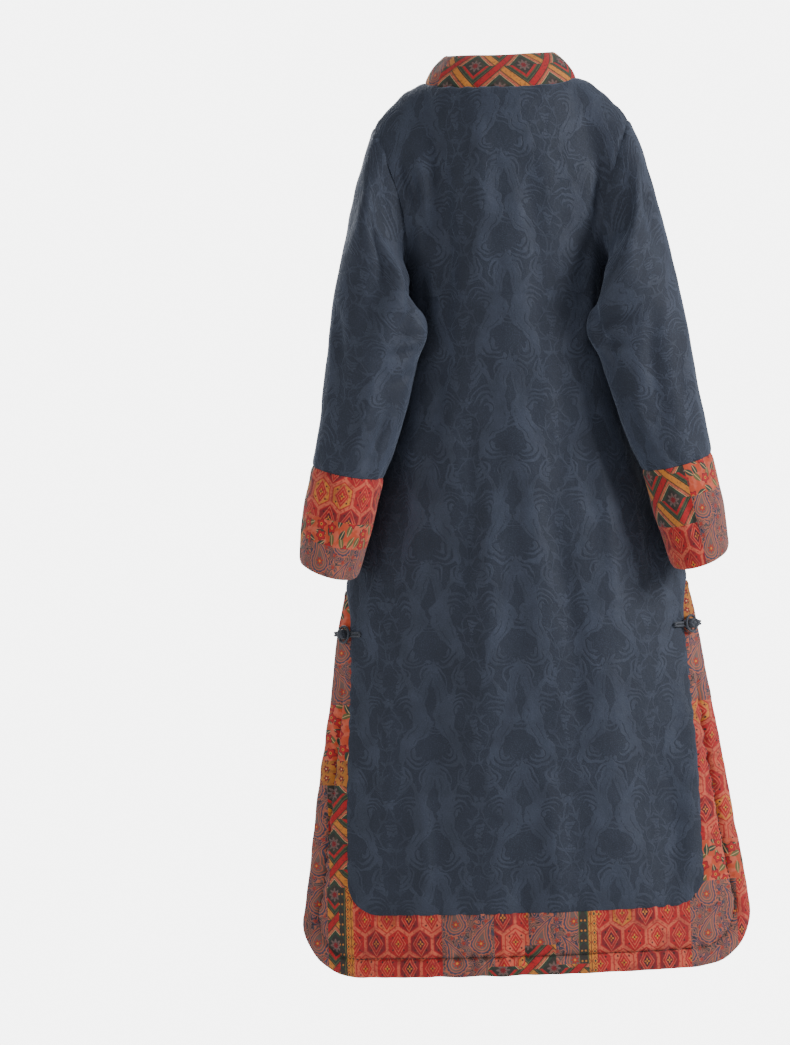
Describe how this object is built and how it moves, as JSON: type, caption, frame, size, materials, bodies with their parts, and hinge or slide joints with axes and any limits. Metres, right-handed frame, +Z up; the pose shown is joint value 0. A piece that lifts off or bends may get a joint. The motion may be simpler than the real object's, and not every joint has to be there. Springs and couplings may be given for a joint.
{
  "type": "long coat",
  "caption": "Long padded coat with a stand collar, set-in sleeves, side slits and knot fastenings; navy damask with patchwork print collar, cuffs and hem border.",
  "frame": {"origin": "at the middle of the neck, level with the collar seam at its sides", "axes": "+Z up along the coat's length, the front faces -Y, the wearer's left is +X"},
  "size_m": [0.5816, 0.2501, 1.1934],
  "materials": {
    "navy_damask": "soft sheen, tone-on-tone figure",
    "patchwork_print": "matt print",
    "navy_cord": "soft sheen"
  },
  "bodies": {
    "root": {"back_panel": "navy_damask", "left_front": "navy_damask", "right_front": "navy_damask", "left_sleeve": "navy_damask", "right_sleeve": "navy_damask", "left_cuff": "patchwork_print", "right_cuff": "patchwork_print", "collar": "patchwork_print", "back_border": "patchwork_print", "left_front_border": "patchwork_print", "right_front_border": "patchwork_print", "front_frog_1_knot": "navy_cord", "front_frog_1_loop": "navy_cord", "front_frog_2_knot": "navy_cord", "front_frog_2_loop": "navy_cord", "front_frog_3_knot": "navy_cord", "front_frog_3_loop": "navy_cord", "front_frog_4_knot": "navy_cord", "front_frog_4_loop": "navy_cord", "front_frog_5_knot": "navy_cord", "front_frog_5_loop": "navy_cord", "left_side_frog_knot": "navy_cord", "left_side_frog_loop": "navy_cord", "right_side_frog_knot": "navy_cord", "right_side_frog_loop": "navy_cord"}
  },
  "joints": []
}
